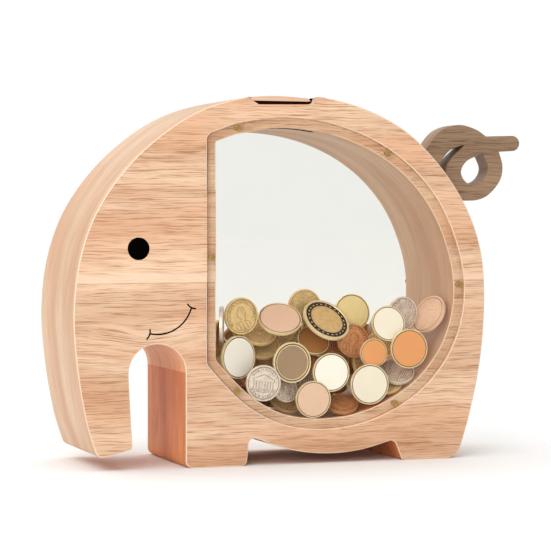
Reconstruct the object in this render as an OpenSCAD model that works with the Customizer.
// Elephant money box: a thick slab of glued planks with a D-shaped hollow,
// a clear pane screwed over each side of it, a coin slot in the crown,
// a walnut tail on a dowel and the coins that lie in the hollow.
// X runs from the trunk to the tail, Y from the front pane to the back pane,
// Z up. The origin is on the floor, in the middle of the whole box.

/* [Body] */
// Thickness of the wooden slab, front face to back face
body_depth = 71; // [66:0.5:80]
// Height of one plank of the glued slab
plank_height = 46.5; // [46:0.1:46.8]

/* [Panes] */
// Thickness of each clear pane
pane_thickness = 3; // [2:0.1:3]
// Depth of the rebate that a pane lies in
rebate_depth = 3.2; // [3.1:0.1:4]
// Width of the ledge that a pane rests on
ledge_width = 5.2; // [4.5:0.1:5.2]
// Gap between a pane's edge and the rebate's wall
pane_gap = 0.3; // [0.1:0.05:0.6]

/* [Screws] */
// Diameter of a screw's head
head_diameter = 3.4; // [3:0.1:3.6]
// Height of a screw's head above the pane
head_height = 0.8; // [0.5:0.1:1]
// Diameter of a screw's shank
shank_diameter = 1.6; // [1.4:0.1:1.8]
// Length of a screw below its head
shank_length = 10; // [8:0.5:12]
// Distance of a screw's centre from the rebate's wall
screw_inset = 2.4; // [2.2:0.1:2.6]

/* [Coin slot] */
// Length of the coin slot along the back
slot_length = 35.2; // [34:0.2:36]
// Width of the coin slot
slot_width = 6; // [5.5:0.1:8]
// Width of the flat land between the front face and the slot
land_width = 8; // [7:0.5:10]
// Height of the slot's rear rim above the floor
rim_height = 185.4; // [184.8:0.1:186.5]

/* [Face] */
// Diameter of the black eye plug
eye_diameter = 11.2; // [9:0.1:14]
// Depth of the eye plug
eye_depth = 4; // [3:0.5:8]
// Width of the inlaid smile line
smile_width = 0.8; // [0.6:0.05:1]
// Depth of the inlaid smile line
smile_depth = 1.2; // [0.8:0.1:2]

/* [Tail] */
// Thickness of the tail board
tail_thickness = 12.4; // [10:0.1:16]
// Diameter of the dowel that holds the tail
dowel_diameter = 4; // [3:0.5:5]
// Depth of the dowel in the body, and again in the tail
dowel_reach = 8; // [6:0.5:9]

/* [Coins] */
// Thickness of a coin
coin_thickness = 1.8; // [1.4:0.1:1.8]

/* [Hidden] */
$fn = 64;
// Pieces that one span of a smooth curve is drawn with
curve_steps = 5;
// Pieces that one rounded corner is drawn with
corner_steps = 8;
// Overlap of a cutter past the face that it cuts
past = 1;
front_y = -body_depth / 2;
slot_x = -16.1;
slot_y = front_y + land_width + slot_width / 2;
slot_low = 160;
crown_high = 195;
// Run of the scoop behind the slot, up to crown_high
scoop_run = 13;
eye_place = [-94.4, 110.1];
dowel_place = [70.6, 149.2];
dowel_angle = 50;
bore_gap = 0.3;
plug_gap = 0.05;
screw_slot_width = 0.5;
screw_slot_depth = 0.4;
// Turn of a screw's slot, and what each millimetre of height adds to it
screw_turn = 35;
screw_turn_step = 3;
tail_tip = [123.4, 165.8];
tail_tip_radius = 4.1;

// The outside from the rear foot, over the back and the head, to the trunk
back_line = [
    [81.5, 10.5], [85.5, 24], [90.5, 46.5], [93, 68.5], [93.5, 88.5],
    [91.5, 108], [85.5, 126], [76, 142.5], [64, 157], [50, 169.5],
    [33.5, 178.5], [15.5, 184.5], [-3, 187.5], [-23, 188], [-44, 185],
    [-64.5, 178], [-84, 165.5], [-101.5, 149], [-116, 128], [-124.5, 104],
    [-127.5, 77], [-125.5, 49.5], [-121.5, 26], [-118.5, 15.5]];

// The underside's corners before the belly: x, z and radius
trunk_corners = [
    [-115.3, 6, 4], [-97.6, 10.4, 2], [-100.3, 62.5, 14.5],
    [-70, 62.5, 14.5], [-70, 0, 3.5], [-37.9, 0, 3], [-36.5, 14.8, 3]];

// The underside's corners after the belly: x, z and radius
rear_corners = [[42.5, 10.9, 3], [47, 0, 1.8], [78, 0, 8.5]];

// The belly is one arc about this centre
belly_centre = [8, 99.8];
belly_radius = 95;

// The round part of the window, from low left to high left
window_line = [
    [-50, 42], [-37.5, 30.5], [-20, 21], [0, 17.5], [20.5, 19], [40, 25.5],
    [58.5, 37], [72.5, 53.5], [80.5, 73.5], [81.5, 95], [76.5, 115.5],
    [67.5, 134], [54.5, 149.5], [38.5, 161.5], [20, 170], [0, 175],
    [-22, 176.3], [-44.5, 172.5]];

// The two corners of the window's straight side
window_corners = [[-58.8, 167.3], [-58.8, 52]];
window_corner_radius = 4.5;
hollow_corner_radius = 1;

// Places around the window where a screw goes, before the inset
screw_marks = [
    [-43.7, 172.7], [39.8, 160.7], [81.4, 90.6],
    [44.2, 27.6], [-44.4, 36.2], [-58.8, 105.8]];

// The tail's top lobe, from inside the body to the notch before the tip
tail_lobe = [
    [61, 145], [66.5, 153.5], [72.5, 162.3], [80.5, 171.8], [91.5, 175.4],
    [101.5, 173.2], [107.8, 169.4]];

// The tail's ring, from below the tip, round to the end of the crescent gap
tail_ring = [
    [115.4, 161.4], [117.6, 153.2], [115.8, 145.2], [108.3, 137.3],
    [99, 134.8], [89.5, 137.4], [84.4, 145.5], [85.7, 155], [95.5, 164.9]];

// The upper edge of the crescent gap, back into the body
tail_crescent = [[95.5, 164.9], [86.6, 161.6], [80.6, 154.4], [75.2, 145.8], [72, 139]];

// The teardrop hole in the tail's ring
tail_hole = [
    [105.8, 160], [108.9, 152], [105.1, 145.6], [97.5, 143.9],
    [93.1, 149.6], [96.5, 156], [105.8, 160]];

// Bottom and sides of the notch in front of the coin slot
notch_line = [
    [-31.4, 182.7], [-2.6, 183.2], [-0.4, 184.2], [5, 195], [-42, 195], [-34.3, 184.4]];

// Arcs of the smile: centre x, centre z, radius, first and last angle
smile_arcs = [
    [-84.5, 85.5, 18.1, -103, -16], [-93.5, 69, 4.95, -52, 14], [-64.9, 85, 4.95, 209, 273]];

// Coins that show at the front pane, each named for its metal:
// x, y, z, diameter, lean back in degrees, turn about Z in degrees, metal
COINS = [
    [-28, -31, 41.5, 18.5, 0, 0, "silver"],
    [-39.5, -25, 54.5, 22, 0, 22, "white"],
    [-1, -31, 32.5, 19, 0, 0, "pink"],
    [30, -31, 39.5, 21, 0, 0, "cream"],
    [52, -31, 57.5, 20.5, 0, 0, "orange"],
    [33, -29, 55.5, 15, 0, 0, "orange"],
    [9.5, -29, 46, 20, 0, 0, "white"],
    [-11.5, -28, 51.5, 21, 0, 5, "taupe"],
    [2.5, -21.5, 62, 17, 35, 0, "brown"],
    [9.5, -22, 72.5, 26, 42, 15, "gold"],
    [-16, -22.5, 73.5, 22.5, 48, -10, "pink"],
    [-25, -16.5, 65.5, 17.5, 55, -15, "gold"],
    [42, -27, 70.5, 18.5, 10, 0, "cream"],
    [25, -20, 61.5, 18, 10, 0, "copper"],
    [-37.5, -24, 75.5, 19, 0, 10, "gold"],
    [1.5, -11, 79.5, 18, 0, 0, "gold"],
    [27.5, -12.5, 76, 19.5, 10, 0, "yellow"],
    [53, -20, 75.5, 17.5, 0, 10, "silver"],
    [67.5, -21, 74.5, 22, 30, -70, "pink"],
    [17.5, -24, 29, 17, 60, -15, "copper"],
    [-11, -16, 30.5, 17, 50, 15, "gold"],
    [48.5, -24, 45, 18, 50, -15, "silver"],
    [43.5, -24, 39, 15, 50, -30, "gold"],
    [-23, -15, 59, 18, 50, -15, "gold"],
    [-47, -21, 71, 19, 0, 70, "silver"],
    [-45.5, -11, 63.5, 19, 0, 60, "gold"]];

// Coins between the ones that show and the backing coins
MIDDLE_COINS = [
    [-27, -18, 42, 19, 50, 20, "gold"],
    [-14.5, -25, 38.5, 16, 20, 20, "copper"],
    [33, -16, 47.5, 17, 20, 30, "gold"],
    [29, -18, 37, 16, 40, 30, "silver"],
    [41.5, -19.5, 59, 17, 40, -20, "gold"],
    [59.5, -14, 61, 16, 40, 20, "silver"],
    [-1, -16.5, 52.5, 18, 60, 10, "gold"],
    [2, -16.5, 38, 17, 40, 10, "copper"],
    [14, -14, 62, 18, 30, 10, "gold"]];

// Coins that stand close together in the middle of the hollow, in three courses:
// x of the first, z, number of coins
COURSES = [[-8.5, 34.5, 2], [-18, 50.5, 4], [-27.5, 66.5, 5]];
backing_y = -5.2;
backing_diameter = 18;
backing_step = 19;
backing_leans = [12, 6];
backing_turns = [8, -8];
BACKING_COINS = [
    for (course = [0 : len(COURSES) - 1], i = [0 : COURSES[course][2] - 1])
        [
            COURSES[course][0] + backing_step * i, backing_y, COURSES[course][1], backing_diameter,
            backing_leans[(i + course) % 2], backing_turns[i % 2], "gold"]];

// Coins above this height are left out behind the back pane
rear_heap_height = 70;

COIN_COLOURS = [
    ["silver", "#b8b4ac"], ["white", "#ece6d8"], ["pink", "#dcb99b"],
    ["cream", "#e8dcc0"], ["orange", "#de9b5f"], ["taupe", "#9b8064"],
    ["brown", "#966437"], ["gold", "#c8a050"], ["copper", "#a0693c"],
    ["yellow", "#dec387"]];

COIN_NAMES = [for (i = [0 : len(COINS) - 1]) str("coin_", i + 1)];
FRONT_SCREWS = [for (i = [0 : len(screw_marks) - 1]) str("front_screw_", i + 1)];
BACK_SCREWS = [for (i = [0 : len(screw_marks) - 1]) str("back_screw_", i + 1)];

// Vector of length 1
function unit(v) = v / norm(v);

// Smooth curve through the points p, with curve_steps pieces between neighbours
function smooth(p) =
    let (n = len(p), q = concat([2 * p[0] - p[1]], p, [2 * p[n - 1] - p[n - 2]]))
    concat(
        [for (i = [1 : n - 1], s = [0 : curve_steps - 1])
            along(q[i - 1], q[i], q[i + 1], q[i + 2], s / curve_steps)],
        [p[n - 1]]);

// Point at t from 0 to 1 on the curve from b to c, with neighbours a and d
function along(a, b, c, d, t) =
    (2 * b + (c - a) * t + (2 * a - 5 * b + 4 * c - d) * t * t + (3 * b - a - 3 * c + d) * t * t * t) / 2;

// Vector v turned by the angle w
function turned(v, w) = [v.x * cos(w) - v.y * sin(w), v.x * sin(w) + v.y * cos(w)];

// Rounded corner of radius r at c, between the points a and b
function corner(a, c, b, r) =
    let (
        u = unit(a - c),
        v = unit(b - c),
        half = acos(u * v) / 2,
        middle = c + unit(u + v) * r / sin(half),
        start = c + u * r / tan(half) - middle,
        sweep = (180 - 2 * half) * (cross(u, v) > 0 ? -1 : 1))
    [for (i = [0 : corner_steps]) middle + turned(start, sweep * i / corner_steps)];

// Rounded corners of the chain p, each x, y and radius, between the points a and b
function corners(a, p, b) =
    let (q = concat([a], p, [b]))
    [for (i = [1 : len(p)]) each corner(flat(q[i - 1]), flat(q[i]), flat(q[i + 1]), q[i][2])];

// The first two numbers of a point
function flat(p) = [p[0], p[1]];

// Closed outline p, drawn counterclockwise, moved inwards by d
function inset(p, d) =
    let (n = len(p))
    [for (i = [0 : n - 1])
        let (
            a = unit(p[i] - p[(i + n - 1) % n]),
            b = unit(p[(i + 1) % n] - p[i]),
            m = [-a.y - b.y, a.x + b.x])
        p[i] + m * d / (1 + a * b)];

// Point of the belly at the angle w
function belly_point(w) = belly_centre + belly_radius * [cos(w), sin(w)];

belly_line = [for (w = [-113.6 : 3.1 : -73]) belly_point(w)];

body_outline = concat(
    smooth(back_line),
    corners(back_line[len(back_line) - 1], trunk_corners, belly_line[0]),
    belly_line,
    corners(belly_line[len(belly_line) - 1], rear_corners, back_line[0]));

// The window's outline moved inwards by d, its two corners rounded to r
function window_outline(d, r) =
    let (
        p = inset(concat(smooth(window_line), window_corners), d),
        n = len(p))
    concat(
        [for (i = [0 : n - 3]) p[i]],
        corner(p[n - 3], p[n - 2], p[n - 1], r),
        corner(p[n - 2], p[n - 1], p[0], r));

// A screw mark moved inwards from the rebate's wall
function screw_place(mark) =
    mark.x < window_corners[0].x + past
        ? [mark.x + screw_inset, mark.y]
        : mark - unit(mark - [0, 95]) * screw_inset;

// Extrudes an outline drawn in X and Z from y = low to y = high
module slab(low, high) {
    translate([0, high, 0])
        rotate([90, 0, 0])
            linear_extrude(high - low)
                children();
}

// Cylinder along Y from y = low to y = high
module bar(place, diameter, low, high) {
    translate([place.x, high, place.y])
        rotate([90, 0, 0])
            cylinder(h = high - low, d = diameter);
}

// The same thing at the front and mirrored at the back
module both_sides() {
    children();
    mirror([0, 1, 0])
        children();
}

// Rebate for one pane, with the bores for its screws
module front_rebate() {
    slab(front_y - past, front_y + rebate_depth)
        polygon(window_outline(0, window_corner_radius));
    for (mark = screw_marks)
        bar(
            screw_place(mark), shank_diameter + 2 * bore_gap,
            front_y + rebate_depth - past, front_y + rebate_depth + shank_length - pane_thickness + past);
}

// One stroke of the smile: a band along an arc
module stroke(arc) {
    steps = 20;
    sweep = arc[4] - arc[3];
    edge = function (r)
        [for (i = [0 : steps])
            let (w = arc[3] + sweep * i / steps)
            [arc[0], arc[1]] + r * [cos(w), sin(w)]];
    inner = edge(arc[2] - smile_width / 2);
    outer = edge(arc[2] + smile_width / 2);
    polygon(concat(outer, [for (i = [steps : -1 : 0]) inner[i]]));
}

// The inlaid smile on the front face
module smile_shape() {
    slab(front_y, front_y + smile_depth)
        for (arc = smile_arcs)
            stroke(arc);
}

// Slot for the coins, the notch in front of it and the scoop behind it
module slot_cut() {
    half = slot_length / 2 - slot_width / 2;
    translate([slot_x - half, slot_y - slot_width / 2, slot_low])
        cube([2 * half, slot_width, crown_high - slot_low]);
    for (x = [slot_x - half, slot_x + half])
        translate([x, slot_y, slot_low])
            cylinder(h = crown_high - slot_low, d = slot_width);
    slab(front_y - past, slot_y)
        polygon(notch_line);
    scoop();
}

// Sloping scoop that leads coins into the slot from behind
module scoop() {
    rim_y = slot_y + slot_width / 2;
    translate([slot_x - slot_length / 2, 0, 0])
        rotate([90, 0, 90])
            linear_extrude(slot_length)
                polygon([
                    [slot_y, rim_height], [rim_y, rim_height],
                    [rim_y + scoop_run, crown_high], [slot_y, crown_high]]);
}

// Dowel between the body and the tail, longer by extra at both ends
module dowel_shape(diameter, extra) {
    translate([dowel_place.x, 0, dowel_place.y])
        rotate([0, 90 - dowel_angle, 0])
            translate([0, 0, -dowel_reach - extra])
                cylinder(h = 2 * (dowel_reach + extra), d = diameter);
}

// Part of the slab between the heights low and high and the sides left and right
module plank(low, high, left, right) {
    color("#eccaa8")
        difference() {
            slab(front_y, -front_y)
                difference() {
                    intersection() {
                        polygon(body_outline);
                        translate([left, low])
                            square([right - left, high - low]);
                    }
                    polygon(window_outline(ledge_width, hollow_corner_radius));
                }
            both_sides()
                front_rebate();
            children();
        }
}

module trunk_plank() {
    plank(-past, plank_height, -130, -85);
}

module belly_plank() {
    plank(-past, plank_height, -85, 130);
}

module cheek_plank() {
    plank(plank_height, 2 * plank_height, -130, 0)
        both_sides()
            smile_shape();
}

module rump_plank() {
    plank(plank_height, 2 * plank_height, 0, 130);
}

module head_plank() {
    plank(2 * plank_height, 3 * plank_height, -130, 0)
        both_sides()
            bar(eye_place, eye_diameter + 2 * plug_gap, front_y - past, front_y + eye_depth);
}

module back_plank() {
    plank(2 * plank_height, 3 * plank_height, 0, 130);
}

module crown_plank() {
    plank(3 * plank_height, crown_high, -130, 130) {
        slot_cut();
        dowel_shape(dowel_diameter, 0);
    }
}

module front_pane() {
    color("#dfe8ea", 0.35)
        difference() {
            slab(front_y + rebate_depth - pane_thickness, front_y + rebate_depth)
                polygon(window_outline(pane_gap, window_corner_radius - pane_gap));
            for (mark = screw_marks)
                bar(
                    screw_place(mark), shank_diameter + 2 * bore_gap,
                    front_y - past, front_y + 2 * rebate_depth);
        }
}

module back_pane() {
    mirror([0, 1, 0])
        front_pane();
}

// Slotted brass screw with its head on the front pane
module screw(mark) {
    seat = front_y + rebate_depth - pane_thickness;
    place = screw_place(mark);
    color("#c9a24c")
        difference() {
            union() {
                bar(place, head_diameter, seat - head_height, seat);
                bar(place, shank_diameter, seat - head_height / 2, seat + shank_length);
            }
            translate([place.x, seat - head_height, place.y])
                rotate([0, screw_turn + screw_turn_step * place.y, 0])
                    cube([head_diameter + past, 2 * screw_slot_depth, screw_slot_width], center = true);
        }
}

module eye() {
    color("#101010")
        bar(eye_place, eye_diameter, front_y, front_y + eye_depth);
}

module smile() {
    color("#1c1612")
        smile_shape();
}

module tail() {
    tip = [for (w = [90 : -10 : -90]) tail_tip + tail_tip_radius * [cos(w), sin(w)]];
    color("#967a5e")
        difference() {
            slab(-tail_thickness / 2, tail_thickness / 2)
                difference() {
                    polygon(concat(smooth(tail_lobe), tip, smooth(tail_ring), smooth(tail_crescent)));
                    polygon(smooth(tail_hole));
                    polygon(body_outline);
                }
            dowel_shape(dowel_diameter, 0);
        }
}

module tail_dowel() {
    color("#d8b48c")
        dowel_shape(dowel_diameter, -0.5);
}

// One coin from a row of COINS
module coin(row) {
    shade = [for (pair = COIN_COLOURS) if (pair[0] == row[6]) pair[1]][0];
    color(shade)
        translate([row[0], row[1], row[2]])
            rotate([90 - row[4], 0, row[5]])
                cylinder(h = coin_thickness, d = row[3], center = true);
}

// Coins behind the ones that show at the front pane
module buried_coins() {
    for (row = concat(MIDDLE_COINS, BACKING_COINS))
        coin(row);
}

// The lower part of the heap again, seen through the back pane
module rear_coins() {
    mirror([0, 1, 0])
        for (row = concat(COINS, MIDDLE_COINS))
            if (row.z < rear_heap_height) coin(row);
}

trunk_plank();
belly_plank();
cheek_plank();
rump_plank();
head_plank();
back_plank();
crown_plank();
front_pane();
back_pane();
for (i = [0 : len(screw_marks) - 1])
    screw(screw_marks[i]);
for (i = [0 : len(screw_marks) - 1])
    mirror([0, 1, 0]) screw(screw_marks[i]);
eye();  // front_eye
mirror([0, 1, 0]) eye();  // back_eye
smile();  // front_smile
mirror([0, 1, 0]) smile();  // back_smile
tail();
tail_dowel();
for (i = [0 : len(COINS) - 1])
    coin(COINS[i]);
buried_coins();
rear_coins();
